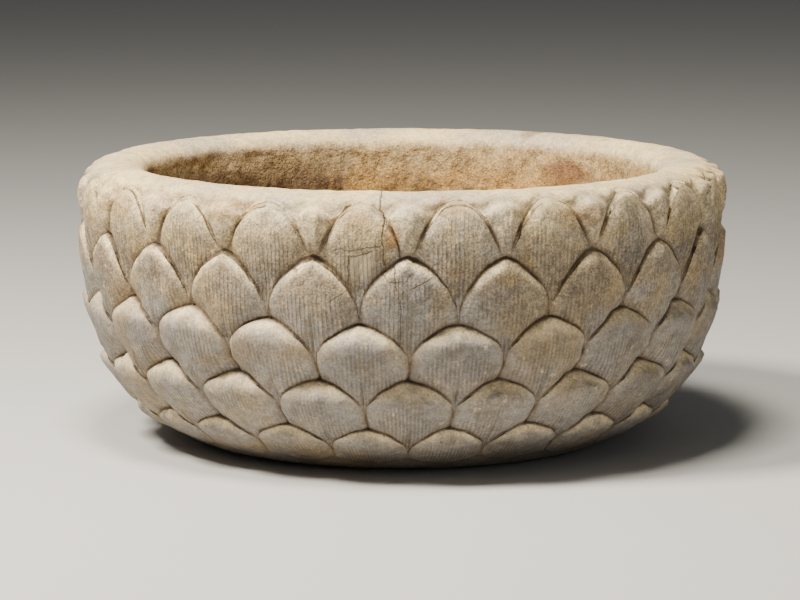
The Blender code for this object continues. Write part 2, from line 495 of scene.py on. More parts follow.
def filler_offset(row, height, room, to_top, to_below):
    """Offset of the domes, sunk to a strip where there is no room for them."""
    rise = np.clip((height - row.touch) / (row.tip - row.touch), 0.0, 1.0)
    out_of_groove = 1.0 - np.exp(-to_below / FILLER_SLOPE)
    over_the_top = 1.0 - (1.0 - np.clip(to_top / FILLER_TOP_ROUND, 0.0, 1.0)) ** 2
    share = FILLER_LOW_SHARE + (1.0 - FILLER_LOW_SHARE) * smooth(rise, *FILLER_SWELL)
    dome = FILLER_BULGE * share * out_of_groove * over_the_top
    cut = (row.sunk * (1.0 - rise) + FILLER_CUT) * (1.0 - out_of_groove) * room
    return dome - cut - STRIP_CUT * (1.0 - room)


def rim_share(value, angle):
    """How much of the cut above the tips is left at a ring of the rim."""
    return (1.0 - value) ** 3 * (LEAST_RIM_CUT + (1.0 - LEAST_RIM_CUT) * crispness(angle))


print("rim cut back by", round(1000 * RIM_CUT * float(rim_share(0.0, 0.0)), 1), "mm at the front")

# %% [markdown]
# The distances to the edges also say where soil and painted shade lie in the grooves,
# where handling has bleached the stone and highlights are painted on the edges, and where
# the chisel lines are kept. These shares become masks on the mesh, so the colours follow
# the carving exactly.

# %% Masks for the finish
# Reach and shares of the soil and painted shade in the grooves.
SOIL_AND_SHADE_BELOW = 0.0011
SOIL_AND_SHADE_SIDE = 0.0018
SOIL_AND_SHADE_TOP = 0.0005
TOP_SOIL_AND_SHADE_SHARE = 0.45
RIM_TOP_SHARE = 0.2
FILLER_TOP_SHARE = 0.7
FILLER_SOIL_AND_SHADE_TOP = 0.0014
BAND_SOIL_AND_SHADE_SHARE = 0.45
RIM_SOIL_AND_SHADE_SHARE = 0.45
RIM_CLEAN = (0.93 * HEIGHT, 0.965 * HEIGHT)
RIM_CLEAN_SHARE = 0.55
EDGE_MIDDLE = 0.22
EDGE_SPREAD = 0.38
SIDE_EDGE_SHARE = 0.45
FACE_START = 0.024
FILLER_FACE_SHARE = 0.25


def step_share(index, angle):
    """Soil and painted shade in the step at the foot of a row: most at the tips below it."""
    if index == 0:
        return np.ones_like(angle)
    below = ROWS[index - 1]
    rise = np.clip((lower_edge(index, angle) - below.touch) / (below.tip - below.touch), 0.0, 1.0)
    return smooth(0.5 + rise * (1.0 - below.across(angle) ** 2), 0.0, 1.0)


def finish_masks(index, angle, room, to_top, to_below, to_side):
    """Shares of soil and painted shade, of bleach and painted highlight, and of chiselled face."""
    row = ROWS[index]
    across = row.across(angle)
    width, tipness = lip_fall(row, across, to_top)[1:]
    top_share = TOP_SOIL_AND_SHADE_SHARE if index < RIM_ROW else RIM_TOP_SHARE
    # Soil and painted shade at the foot step, in the side grooves and along the arch.
    groove = np.maximum.reduce([
        step_share(index, angle) * np.exp(-to_below / SOIL_AND_SHADE_BELOW),
        room * np.exp(-to_side / SOIL_AND_SHADE_SIDE),
        top_share * np.exp(-to_top / SOIL_AND_SHADE_TOP),
    ])
    # Bleach and a painted highlight along the arch, strongest at the tips.
    edge = np.exp(-((to_top - EDGE_MIDDLE * width) / (EDGE_SPREAD * width)) ** 2)
    edge = edge * (1.0 - across ** SIDE_ROUND) * (SIDE_EDGE_SHARE + (1.0 - SIDE_EDGE_SHARE) * tipness)
    face = smooth(to_top, 0.5 * width, FACE_START)
    if row.name == "filler":
        groove = room * np.maximum(groove, FILLER_TOP_SHARE * np.exp(-to_top / FILLER_SOIL_AND_SHADE_TOP))
        face = face * FILLER_FACE_SHARE
    return groove, edge, face


print("soil reaches", 1000 * SOIL_AND_SHADE_BELOW, "mm up from a step")

# %% [markdown]
# Now every ring is carved. Where a row is only a thin strip, because tips of the row below
# reach past it, the side groove is left out. Each petal also gets a tone of its own, a
# number that looks random but is always the same.

# %% Carve the petals
STRIP_ROOM = (0.002, 0.010)
SIDE_WIDTH = 0.007
SIDE_DROP = 0.0022
SIDE_CUT = 0.0018
BELOW_CUT = 0.0010
CUT_WIDTH = 0.0016
FOOT_RISE = 0.012
FOOT_STEP = 0.0024
BAND_DEPTH = 0.0030
MASKS = ("groove", "edge", "face", "hollow", "tone", "rust", "ochre")


def carve_ring(kind, index, value, angle):
    """Offset from the ground, height and finish masks of one ring of petals."""
    row = ROWS[index]
    height = ring_height(kind, index, value, angle)
    ground = ground_radius(height)
    start = lower_edge(index, angle)
    span = upper_edge(index, angle) - start
    room = smooth(span, *STRIP_ROOM)
    to_top = true_distance(start + span - height, upper_edge, index, angle, ground)
    to_below = true_distance(height - start, lower_edge, index, angle, ground)
    to_side = (1.0 - row.across(angle)) * HALF_PITCH * ground
    if row.name == "filler":
        offset = filler_offset(row, height, room, to_top, to_below)
    else:
        offset = petal_face(index, height, angle, to_top)
        offset -= room * SIDE_DROP * (1.0 - np.clip(to_side / SIDE_WIDTH, 0.0, 1.0)) ** 2
        offset -= room * SIDE_CUT * np.exp(-(to_side / CUT_WIDTH) ** 1.3)
        if index:
            offset += tuck_in(index, angle, start, span, to_below)
    if index == 0:
        risen = smooth(to_below, 0.0, FOOT_RISE)
        offset = offset * risen - FOOT_STEP * (1.0 - risen)
    else:
        offset -= BELOW_CUT * np.exp(-to_below / CUT_WIDTH)
    groove, edge, face = finish_masks(index, angle, room, to_top, to_below, to_side)
    if index >= RIM_ROW:
        kept = 1.0 - smooth(height, *RIM_FADE) * (1.0 - crispness(angle))
        offset = offset * kept
        groove = groove * kept * (1.0 - RIM_CLEAN_SHARE * smooth(height, *RIM_CLEAN))
    return offset, height, groove, edge, face


def own_tone(petal, index):
    """A number from 0 to 1 for each petal of a row."""
    return np.sin(petal * 12.9898 + index * 78.233) * 43758.5453 % 1.0


def carve(mesh):
    """The carved place of every vertex, and the masks for the finish."""
    count = len(mesh.vertices)
    flat = np.empty(count * 3)
    mesh.vertices.foreach_get("co", flat)
    points = flat.reshape(-1, 3)
    ring = np.empty(count, dtype=np.int32)
    mesh.attributes["ring"].data.foreach_get("value", ring)
    even = np.arctan2(points[:, 1], points[:, 0]) / HALF_PITCH
    angle = HALF_PITCH * (even - COLUMN_CROWDING * np.sin(math.tau * even) / math.tau)
    offset, height = np.zeros(count), np.zeros(count)
    masks = {name: np.zeros(count) for name in MASKS}
    own_radius = np.full(count, np.nan)
    for number, (kind, index, value) in enumerate(PLAN):
        here = np.nonzero(ring == number)[0]
        turns = angle[here]
        if kind in ("rim", "lip", "wall", "corner"):
            own_radius[here], height[here] = hollow_ring(kind, value, turns)
            if kind == "rim":
                above_petals = rim_share(value, turns)
                own_radius[here] -= RIM_CUT * above_petals
                # The cut above the tips is darkened: soil and painted shade.
                masks["groove"][here] = RIM_SOIL_AND_SHADE_SHARE * above_petals * crispness(turns)
            masks["hollow"][here] = {"rim": 0.0, "lip": smooth(value, 0.55, 1.0)}.get(kind, 1.0)
        elif kind in ("underside", "band"):
            height[here] = ring_height(kind, index, value, turns)
            offset[here] = -BAND_DEPTH * smooth(value, 0.0, 0.5)
            # The band under the foot row is darkened: soil and painted shade.
            masks["groove"][here] = BAND_SOIL_AND_SHADE_SHARE * value ** 2
        else:
            offset[here], height[here], groove, edge, face = carve_ring(kind, index, value, turns)
            masks["groove"][here], masks["edge"][here], masks["face"][here] = groove, edge, face
            masks["tone"][here] = own_tone(np.round(ROWS[index].turned(turns) / 2.0), index)
    return angle, height, offset, own_radius, masks


angle, height, offset, own_radius, masks = carve(basin_mesh)
print("carved", len(angle), "vertices")

# %% [markdown]
# A hand-carved lattice is never perfect. A slow noise pushes tips and grooves about by a
# few millimetres, and a quicker one makes their edges uneven. Noise is read at each vertex
# from its own place, so the result is the same on every run. Foot and rim stay true.

# %% Wander of the lattice
WANDER_SIZE = 0.090
WANDER_ALONG = 0.0034
WANDER_UP = 0.0022
SHAKE_SIZE = 0.013
SHAKE_ALONG = 0.0012
SHAKE_UP = 0.0012
STEADY_FOOT = (0.008, 0.030)
STEADY_RIM = (0.95 * HEIGHT, 0.985 * HEIGHT)


def field(where, size, seed):
    """One noise value between -1 and 1 for each point."""
    shift = Vector((seed * 3.17, seed * 1.73, seed * 2.39))
    return np.array([noise.noise(Vector(place) / size + shift) for place in where])


def place(radius, turns, up):
    """Points from radius, angle from the front and height."""
    front = turns + PETAL_TURN - math.pi / 2
    return np.column_stack([radius * np.cos(front), radius * np.sin(front), up])


def wander(where, slow_seed, slow, quick_seed, quick):
    """A slow and a quick noise added up, each with its own depth."""
    return slow * field(where, WANDER_SIZE, slow_seed) + quick * field(where, SHAKE_SIZE, quick_seed)


rough_place = place(ground_radius(height), angle, height)
calm = smooth(height, *STEADY_FOOT) * (1.0 - smooth(height, *STEADY_RIM))
outside = np.isnan(own_radius)
along = calm * wander(rough_place, 1, WANDER_ALONG, 3, SHAKE_ALONG)
lift = calm * wander(rough_place, 2, WANDER_UP, 4, SHAKE_UP)
angle = angle + np.where(outside, along / BELLY_RADIUS, 0.0)
height = height + np.where(outside, lift, 0.0)
radius = np.where(outside, ground_radius(height) + offset, own_radius)
points = place(radius, angle, height)
basin_mesh.vertices.foreach_set("co", points.ravel())
basin_mesh.update()
print("petals wander by up to", round(1000 * float(np.abs(along).max()), 1), "mm")

# %% [markdown]
# Time has roughened the stone: more above the belly than below it, less on the handled
# rim, and most in the hollow, which was only pecked out. Three sizes of noise move the
# surface along its normals, and a fourth one chips the raised edges. The underside stays
# flat, because the basin stands on it.

# %% Roughness and chips
ROUGH_SIZES = ((0.045, 0.0010), (0.016, 0.0008), (0.0075, 0.0004))
HOLLOW_ROUGH = ((0.050, 0.0024), (0.020, 0.0024), (0.010, 0.0014))
ROUGHER_UP = (0.14, 0.21)
SMOOTHER_RIM = (0.246, 0.260)
CHIP_SIZE = 0.011
CHIP_LEAST = 0.22
CHIP_DEPTH = 0.0040
FLAT_FOOT = 0.004

normals = np.empty(len(points) * 3)
basin_mesh.vertices.foreach_get("normal", normals)
normals = normals.reshape(-1, 3)
up_here, inside = points[:, 2], masks["hollow"]
worn = 0.7 + 0.7 * smooth(up_here, *ROUGHER_UP) * (1.0 - 0.8 * smooth(up_here, *SMOOTHER_RIM))
push = -CHIP_DEPTH * np.clip(field(points, CHIP_SIZE, 21) - CHIP_LEAST, 0.0, 1.0) * masks["edge"]
for seed, ((size, depth), (hollow_size, hollow_depth)) in enumerate(zip(ROUGH_SIZES, HOLLOW_ROUGH)):
    push += depth * worn * (1.0 - inside) * (field(points, size, seed + 5) - 0.5)
    push += hollow_depth * inside * (field(points, hollow_size, seed + 9) - 0.5)
points = points + normals * (push * smooth(up_here, 0.0, FLAT_FOOT))[:, None]
points[:, 2] = np.maximum(points[:, 2], 0.0)
basin_mesh.vertices.foreach_set("co", points.ravel())
basin_mesh.update()
print("deepest wear", round(-1000 * float(push.min()), 1), "mm")

# %% [markdown]
# Some stains lie in one place. Iron has bled at the back, on the wall of the hollow and on
# the rim, and ochre earth sits in a wedge by the main crack and in patches under the rim.
# Each is a soft blot whose outline is broken by noise.

# %% Stains in their places
# Strength, degrees from the front, height in mm, reach in degrees and in mm, noise seed.
HOLLOW_RUST = (1.0, 137, 228, 9, 17, 31)
RIM_RUST = (0.6, 150, 264, 2.5, 8, 32)
OCHRE_BLOTS = (
    (1.0, -1.8, 226, 1.7, 13, 33), (0.5, -8.0, 242, 5, 13, 34), (0.5, -30, 246, 6, 12, 35),
    (0.4, 8, 252, 5, 9, 36), (0.5, 31, 240, 6, 16, 37), (0.5, -58, 236, 7, 16, 38),
)
front_angle = np.degrees(np.arctan2(points[:, 0], -points[:, 1]))


def blot(strength, turn, up, wide, tall, seed):
    """A soft stain with a broken outline."""
    apart = (front_angle - turn + 180.0) % 360.0 - 180.0
    reach = np.hypot(apart / wide, (1000 * points[:, 2] - up) / tall) + 0.35 * field(points, 0.012, seed)
    return strength * (1.0 - smooth(reach, 0.45, 1.0))


masks["rust"] = np.maximum(blot(*HOLLOW_RUST) * inside, blot(*RIM_RUST))
masks["ochre"] = np.maximum.reduce([blot(*each) for each in OCHRE_BLOTS]) * (1.0 - inside)
print("stained vertices:", int((masks["rust"] + masks["ochre"] > 0.1).sum()))

# %% [markdown]
# The masks are stored on the mesh as attributes, where the material can read them. The
# ring numbers have done their work and go.

# %% Finish the carved mesh
for name, values in masks.items():
    layer = basin_mesh.attributes.new(name, "FLOAT", "POINT")
    layer.data.foreach_set("value", values.astype(np.float32))
basin_mesh.attributes.remove(basin_mesh.attributes["ring"])
basin_mesh.shade_smooth()
basin = bpy.data.objects.new("carved_basin", basin_mesh)
bpy.context.scene.collection.objects.link(basin)
basin_mesh.calc_loop_triangles()
print("carved basin:", len(basin_mesh.loop_triangles), "triangles")

# %% [markdown]
# Shader nodes are easier to read when a small helper makes them: it takes the kind of
# node, its plain settings and the values or links for its inputs.

# %% Helper for shader nodes


def add(tree, kind, inputs=None, **settings):
    """A new node with its settings made and its inputs filled or linked."""
    made = tree.nodes.new(kind)
    for name, value in settings.items():
        setattr(made, name, value)
    for name, value in (inputs or {}).items():
        if isinstance(value, bpy.types.NodeSocket):
            tree.links.new(value, made.inputs[name])
        else:
            made.inputs[name].default_value = value
    return made


def math_node(tree, operation, first, second=0.5):
    """The result of one sum on numbers."""
    return add(tree, "ShaderNodeMath", {0: first, 1: second}, operation=operation).outputs[0]


def times(tree, first, second):
    """The product of two numbers."""
    return math_node(tree, "MULTIPLY", first, second)


def plus(tree, first, second):
    """The sum of two numbers."""
    return math_node(tree, "ADD", first, second)


def minus(tree, first, second):
    """The second number taken from the first."""
    return math_node(tree, "SUBTRACT", first, second)


def larger(tree, first, second):
    """The larger of two numbers."""
    return math_node(tree, "MAXIMUM", first, second)


def spread(tree, value, low, high, to_low=0.0, to_high=1.0):
    """A value mapped from one range to another, eased and held at its ends."""
    inputs = {"Value": value, "From Min": low, "From Max": high, "To Min": to_low, "To Max": to_high}
    return add(tree, "ShaderNodeMapRange", inputs, interpolation_type="SMOOTHSTEP").outputs[0]


def noise_value(tree, where, scale, detail=3.0, roughness=0.55):
    """Noise between 0 and 1 at this many bumps a metre."""
    inputs = {"Vector": where, "Scale": scale, "Detail": detail, "Roughness": roughness}
    return add(tree, "ShaderNodeTexNoise", inputs).outputs["Fac"]


def blend_colour(tree, share, under, over, mode="MIX"):
    """One colour laid over another by a share from 0 to 1."""
    made = add(tree, "ShaderNodeMix", data_type="RGBA", blend_type=mode)
    for name, value in (("Factor_Float", share), ("A_Color", under), ("B_Color", over)):
        socket = next(item for item in made.inputs if item.identifier == name)
        if isinstance(value, bpy.types.NodeSocket):
            tree.links.new(value, socket)
        else:
            socket.default_value = value
    return next(item for item in made.outputs if item.identifier == "Result_Color")


def shade_by(tree, share, colour, factor):
    """A colour made lighter or darker by a factor, by a share from 0 to 1."""
    return blend_colour(tree, share, colour, blend_colour(tree, 1.0, colour, factor, "MULTIPLY"))


def patches(tree, where, scale, low, high, to_low=0.0, to_high=1.0, detail=3.0, roughness=0.55):
    """Noise with its contrast drawn out: patches of one value in a ground of another."""
    return spread(tree, noise_value(tree, where, scale, detail, roughness), low, high, to_low, to_high)


def new_group(name, inputs, outputs):
    """An empty node group with its sockets, and its input and output nodes."""
    group = bpy.data.node_groups.new(name, "ShaderNodeTree")
    for socket_name, value in inputs:
        socket = group.interface.new_socket(
            name=socket_name, in_out="INPUT", socket_type="NodeSocketFloat")
        socket.default_value = value
    for socket_name in outputs:
        group.interface.new_socket(name=socket_name, in_out="OUTPUT", socket_type="NodeSocketFloat")
    return group, add(group, "NodeGroupInput"), add(group, "NodeGroupOutput")


def mask(tree, name):
    """A mask that the carving stored on the mesh."""
    return add(tree, "ShaderNodeAttribute", attribute_name=name).outputs["Fac"]


print("helpers are ready")

# %% [markdown]
# The faces of the petals were finished with a toothed chisel, which leaves fine lines up
# the petal, about four millimetres apart and never quite even. A sine of the angle round
# the axis gives a whole number of lines, so it closes on itself, and noise bends it. The
# lines run up the petals and draw together where the belly curves in, as cut ones do.

# %% Node group for the chisel lines
LINES_ROUND = 490.0
LINE_WAVER = 9.0

group, group_in, group_out = new_group(
    "tooth_chisel_lines", [("Lines Round", LINES_ROUND), ("Waver", LINE_WAVER)], ["Lines"])
place_node = add(group, "ShaderNodeTexCoord").outputs["Object"]
parts = add(group, "ShaderNodeSeparateXYZ", {0: place_node})
round_angle = math_node(group, "ARCTAN2", parts.outputs[1], parts.outputs[0])
phase = times(group, round_angle, group_in.outputs["Lines Round"])
bend = minus(group, noise_value(group, place_node, scale=16.0, detail=1.0), 0.5)
bend = times(group, bend, group_in.outputs["Waver"])
wave = math_node(group, "SINE", plus(group, phase, bend))
unevenness = patches(group, place_node, 130.0, 0.35, 0.65, -0.25, 0.25, detail=1.0)
lines = spread(group, plus(group, wave, unevenness), -0.95, 0.30)
group.links.new(lines, group_out.inputs["Lines"])
chisel_group = group
print("group:", group.name)

# %% [markdown]
# The basin has cracked from the rim down through the middle of its front, a flake has
# come off beside the crack, and a petal below is crossed by fine cracks. Each crack is a
# thin line through a few places, given as its width in millimetres and then degrees from
# the front and millimetres of height.

# %% Places of the cracks
MM_PER_DEGREE = 5.3
UPRIGHT_CRACKS = (
    (1.0, ((-3.9, 268.0), (-3.6, 258.8), (-3.7, 250.8), (-2.8, 243.2), (-3.3, 227.8),
           (-3.1, 216.5), (-2.9, 202.5))),
    (0.9, ((-2.7, 240.0), (-1.6, 233.8), (-1.0, 227.8), (-0.5, 217.5), (-0.3, 208.5))),
    (0.6, ((-1.2, 202.5), (-1.1, 193.8), (-1.0, 179.8))),
    (0.5, ((-0.2, 172.8), (-0.3, 153.0), (-0.3, 131.5))),
    (0.7, ((-8.7, 210.8), (-8.8, 205.5), (-8.9, 196.8), (-8.9, 184.5))),
)
LEVEL_CRACKS = (
    (0.6, ((-11.5, 215.8), (-10.0, 216.0), (-8.5, 214.8), (-6.9, 217.0), (-5.2, 219.0),
           (-3.4, 220.0))),
    (0.6, ((-3.3, 193.8), (-2.0, 188.5), (-1.0, 188.0), (0.2, 189.5))),
    (0.7, ((1.3, 181.5), (3.3, 186.8), (5.2, 192.8))),
    (0.6, ((-12.1, 169.8), (-11.2, 172.8), (-10.2, 176.2), (-8.9, 181.0))),
    (0.8, ((-8.9, 209.8), (-7.5, 210.8), (-6.5, 212.0), (-4.9, 214.8))),
)
FLAKE_LEFT = ((-8.7, 212.0), (-8.8, 205.5), (-8.9, 196.8), (-8.9, 184.5))
FLAKE_TOP = ((-9.0, 209.5), (-7.5, 210.5), (-6.5, 212.0), (-4.9, 214.8), (-3.3, 216.0))
# The small dents have a reach in millimetres as their last number.
SPOTS = (
    (-17.8, 195.6, 3.2), (1.6, 193.0, 3.4), (40.7, 205.5, 2.6), (73.1, 148.2, 2.4), (-1.0, 187.5, 1.6),
)
print(len(UPRIGHT_CRACKS) + len(LEVEL_CRACKS), "cracks and", len(SPOTS), "dents")

# %% [markdown]
# A curve node turns a height into the place of an upright crack, and a place into the
# height of a level one. The line is dark where the stone lies near that curve, and a
# little noise makes it shiver as a real crack does. The flake is the area between two
# such curves, which fades out where the break ran into the crack.

# %% Node group for the cracks, the flake and the dents
SHIVER_SCALE = 190.0
SHIVER_MM = 3.8
FLAKE_EDGE = 1.2
FLAKE_RIGHT = (-30.0, -16.0)
FLAKE_FOOT = (184.0, 200.0)


def in_mm(points):
    """Places on the outside, both numbers in millimetres."""
    return [(turn * MM_PER_DEGREE, up) for turn, up in points]


def upright(points):
    """The same places with the height first, for a line that runs up."""
    return [(up, side) for side, up in in_mm(points)]


def through(tree, along, points):
    """The second number of the line through the points, for a value of the first."""
    points = sorted(points)
    low, high = points[0][0], points[-1][0]
    least, most = min(item[1] for item in points) - 1.0, max(item[1] for item in points) + 1.0
    share = {"Value": along, "From Min": low, "From Max": high}
    curve = add(tree, "ShaderNodeFloatCurve", {"Value": add(tree, "ShaderNodeMapRange", share).outputs[0]})
    line = curve.mapping.curves[0]
    for number, (first, second) in enumerate(points):
        spot = ((first - low) / (high - low), (second - least) / (most - least))
        if number in (0, len(points) - 1):
            line.points[0 if number == 0 else -1].location = spot
        else:
            line.points.new(*spot)
    for point in line.points:
        point.handle_type = "VECTOR"
    curve.mapping.update()
    back_again = {"Value": curve.outputs[0], "To Min": least, "To Max": most}
    return add(tree, "ShaderNodeMapRange", back_again).outputs[0]


def crack_line(tree, along, across, points, width):
    """1 on the line through the points, falling to 0 at its width and beyond its ends."""
    apart = math_node(tree, "ABSOLUTE", minus(tree, across, through(tree, along, points)))
    low, high = min(item[0] for item in points), max(item[0] for item in points)
    begun = spread(tree, along, low - 1.0, low + 1.0)
    not_ended = spread(tree, along, high - 1.0, high + 1.0, 1.0, 0.0)
    dark = spread(tree, apart, 0.25 * width, width, 1.0, 0.0)
    return times(tree, dark, times(tree, begun, not_ended))


group, group_in, group_out = new_group("cracks_and_flake", [], ["Cracks", "Flake", "Spots"])
place_node = add(group, "ShaderNodeTexCoord").outputs["Object"]
parts = add(group, "ShaderNodeSeparateXYZ", {0: place_node})
turn_here = math_node(group, "ARCTAN2", parts.outputs[0], times(group, parts.outputs[1], -1.0))
shiver = minus(group, noise_value(group, place_node, SHIVER_SCALE, 2.0), 0.5)
shiver = times(group, shiver, SHIVER_MM)
side_mm = plus(group, times(group, turn_here, math.degrees(1.0) * MM_PER_DEGREE), shiver)
up_mm = plus(group, times(group, parts.outputs[2], 1000.0), shiver)
cracks = 0.0
for width, spots_on_it in UPRIGHT_CRACKS:
    line = crack_line(group, up_mm, side_mm, upright(spots_on_it), width)
    cracks = larger(group, cracks, line)
for width, spots_on_it in LEVEL_CRACKS:
    line = crack_line(group, side_mm, up_mm, in_mm(spots_on_it), width)
    cracks = larger(group, cracks, line)
from_left = minus(group, side_mm, through(group, up_mm, upright(FLAKE_LEFT)))
from_top = minus(group, through(group, side_mm, in_mm(FLAKE_TOP)), up_mm)
flake = times(group, spread(group, from_left, 0.0, FLAKE_EDGE), spread(group, from_top, 0.0, FLAKE_EDGE))
flake = times(group, flake, spread(group, side_mm, *FLAKE_RIGHT, 1.0, 0.0))
flake = times(group, flake, spread(group, up_mm, *FLAKE_FOOT))
spots = 0.0
on_the_side = add(group, "ShaderNodeCombineXYZ", {0: side_mm, 1: up_mm}).outputs[0]
for turn, up, reach in SPOTS:
    ends = {0: on_the_side, 1: (turn * MM_PER_DEGREE, up, 0.0)}
    apart = add(group, "ShaderNodeVectorMath", ends, operation="DISTANCE").outputs["Value"]
    spots = larger(group, spots, spread(group, apart, 0.3 * reach, reach, 1.0, 0.0))
for name, value in (("Cracks", cracks), ("Flake", flake), ("Spots", spots)):
    group.links.new(value, group_out.inputs[name])
crack_group = group
print("group:", group.name)

# %% [markdown]
# Old marble is full of small pits where grains have fallen out. Round cells of random
# size, only some of them dark, look like that, and a fine noise bends their outlines.
# There are more of them in the hollow, which was left rough.

# %% Node group for the pits
PITS_A_METRE = 160.0
PIT_BEND_SCALE = 260.0
PIT_BEND = (0.0045, 0.0045, 0.0045)
PIT_SIZE = 0.75
PIT_EDGE = 0.16

group, group_in, group_out = new_group(
    "small_pits", [("Pits a Metre", PITS_A_METRE), ("Amount", 0.5)], ["Pits"])
place_node = add(group, "ShaderNodeTexCoord").outputs["Object"]
bent = add(group, "ShaderNodeTexNoise", {"Vector": place_node, "Scale": PIT_BEND_SCALE, "Detail": 0.0})
bent = add(group, "ShaderNodeVectorMath", {0: bent.outputs["Color"], 1: PIT_BEND}, operation="MULTIPLY")
where = add(group, "ShaderNodeVectorMath", {0: place_node, 1: bent.outputs[0]}, operation="ADD")
cells = add(group, "ShaderNodeTexVoronoi", {"Vector": where.outputs[0]})
group.links.new(group_in.outputs["Pits a Metre"], cells.inputs["Scale"])
chance = add(group, "ShaderNodeSeparateXYZ", {0: cells.outputs["Color"]}).outputs[0]
beyond = minus(group, chance, minus(group, 1.0, group_in.outputs["Amount"]))
depth_here = minus(group, times(group, beyond, PIT_SIZE), cells.outputs["Distance"])
group.links.new(spread(group, depth_here, 0.0, PIT_EDGE), group_out.inputs["Pits"])
pits_group = group
print("group:", group.name)

# %% [markdown]
# The marble is built layer over layer, as it weathered. This cell makes the material and
# what all layers read: the place on the stone, its height, the masks and the groups. The
# gloss needs one number of its own, the index of refraction of stone.

# %% Start of the weathered marble
STONE_IOR = 1.5
UPPER_HALF = (0.12, 0.20)

marble = bpy.data.materials.new("weathered_marble")
marble.use_nodes = True
tree = marble.node_tree
shader = tree.nodes["Principled BSDF"]
shader.inputs["IOR"].default_value = STONE_IOR
here = add(tree, "ShaderNodeTexCoord").outputs["Object"]
apart_here = add(tree, "ShaderNodeSeparateXYZ", {0: here})
sideways, height_here = apart_here.outputs[0], apart_here.outputs[2]
upper = spread(tree, height_here, *UPPER_HALF)
groove_mask, edge_mask, face_mask = mask(tree, "groove"), mask(tree, "edge"), mask(tree, "face")
hollow_mask = mask(tree, "hollow")
outside_mask = minus(tree, 1.0, hollow_mask)
damage = add(tree, "ShaderNodeGroup", node_tree=crack_group)
chisel = add(tree, "ShaderNodeGroup", node_tree=chisel_group)
chisel.inputs["Lines Round"].default_value = LINES_ROUND
chisel.inputs["Waver"].default_value = LINE_WAVER
pitting = add(tree, "ShaderNodeGroup", node_tree=pits_group)
pitting.inputs["Pits a Metre"].default_value = PITS_A_METRE
tree.links.new(spread(tree, hollow_mask, 0.0, 1.0, 0.42, 0.85), pitting.inputs["Amount"])
print("material:", marble.name)

# %% [markdown]
# The stone itself is a warm grey with cooler clouds, cooler low down. Over it lie a thin
# brown patina and ochre patches, which grow stronger towards the rim, and each petal is a
# little lighter or darker than the next, as differently worn faces are.

# %% Stone, patina and ochre
WARM_GREY = (0.298, 0.236, 0.154, 1.0)
COOL_GREY = (0.282, 0.258, 0.228, 1.0)
PATINA = (0.150, 0.113, 0.073, 1.0)
OCHRE = (0.430, 0.295, 0.128, 1.0)
PETAL_TONES = (0.84, 1.12)

clouds = noise_value(tree, here, scale=11.0, detail=4.0, roughness=0.6)
cool_share = plus(tree, clouds, times(tree, minus(tree, 0.6, upper), 0.12))
colour = blend_colour(tree, spread(tree, cool_share, 0.42, 0.57), WARM_GREY, COOL_GREY)
patina = patches(tree, here, 21.0, 0.50, 0.70, 0.0, 0.60, detail=5.0, roughness=0.68)
colour = blend_colour(tree, patina, colour, PATINA)
stained = patches(tree, here, 26.0, 0.46, 0.66, detail=4.0, roughness=0.65)
high_up = spread(tree, height_here, 0.13, 0.25, 0.22, 0.85)
colour = blend_colour(tree, times(tree, stained, high_up), colour, OCHRE)
petal_tone = spread(tree, mask(tree, "tone"), 0.0, 1.0, *PETAL_TONES)
colour = shade_by(tree, face_mask, colour, petal_tone)
print("petals toned from", *PETAL_TONES)

# %% [markdown]
# Hands and weather have bleached the raised edges and the uppermost row, and the rim most
# of all, which is cream with grey clouds. The same pale colour is also painted light: a
# painted highlight on the edges and tips, and lighter colour on the uppermost row and the
# rim top, which face up to the lamps. The wedge by the crack is deep ochre. Small white
# spots are bruises where the stone's crystals were crushed.

# %% Bleached edges and rim, with painted highlights and painted light
BLEACH_AND_HIGHLIGHT = (0.770, 0.615, 0.360, 1.0)
RIM_CREAM_AND_LIGHT = (0.780, 0.600, 0.300, 1.0)
RIM_GREY = (0.400, 0.350, 0.275, 1.0)
DEEP_OCHRE = (0.400, 0.220, 0.065, 1.0)
UPPER_ROW = (0.195, 0.245)
RIM_ZONE = (0.243, 0.257)

handled = patches(tree, here, 55.0, 0.36, 0.60, 0.55, 1.0, detail=4.0, roughness=0.65)
# Bleach and painted light on the uppermost row, bleach and painted highlight on the edges.
upper_row_bleach_and_light = spread(tree, height_here, *UPPER_ROW, 0.0, 0.58)
bleach_and_highlight = times(tree, larger(tree, edge_mask, upper_row_bleach_and_light), handled)
colour = blend_colour(tree, bleach_and_highlight, colour, BLEACH_AND_HIGHLIGHT)
# The rim top is painted cream and lighter: its own colour and painted light.
rim_streaks = patches(tree, here, 19.0, 0.40, 0.60, 0.30, 0.95, detail=4.0, roughness=0.65)
rim_cream_and_light = times(tree, spread(tree, height_here, *RIM_ZONE), rim_streaks)
rim_colour_and_light = blend_colour(tree, spread(tree, clouds, 0.44, 0.60, 0.0, 0.75), RIM_CREAM_AND_LIGHT, RIM_GREY)
colour = blend_colour(tree, rim_cream_and_light, colour, rim_colour_and_light)
colour = blend_colour(tree, times(tree, mask(tree, "ochre"), 0.85), colour, DEEP_OCHRE)
bruises = patches(tree, here, 115.0, 0.62, 0.74, 0.0, 0.40, detail=2.0, roughness=0.6)
colour = blend_colour(tree, bruises, colour, BLEACH_AND_HIGHLIGHT)
print("bleached from", round(1000 * UPPER_ROW[0]), "mm up")

# %% [markdown]
# Dust and painted shade darken the chisel lines, where the lines are kept. Noise wears them
# away in places, and they are left out near the edges and in the hollow by the mask of the
# faces.

# %% Chisel lines on the faces
SHADE = (0.130, 0.098, 0.064, 1.0)

chisel_lines = chisel.outputs["Lines"]
chisel_share = times(tree, face_mask, patches(tree, here, 24.0, 0.36, 0.56, 0.25, 1.0))
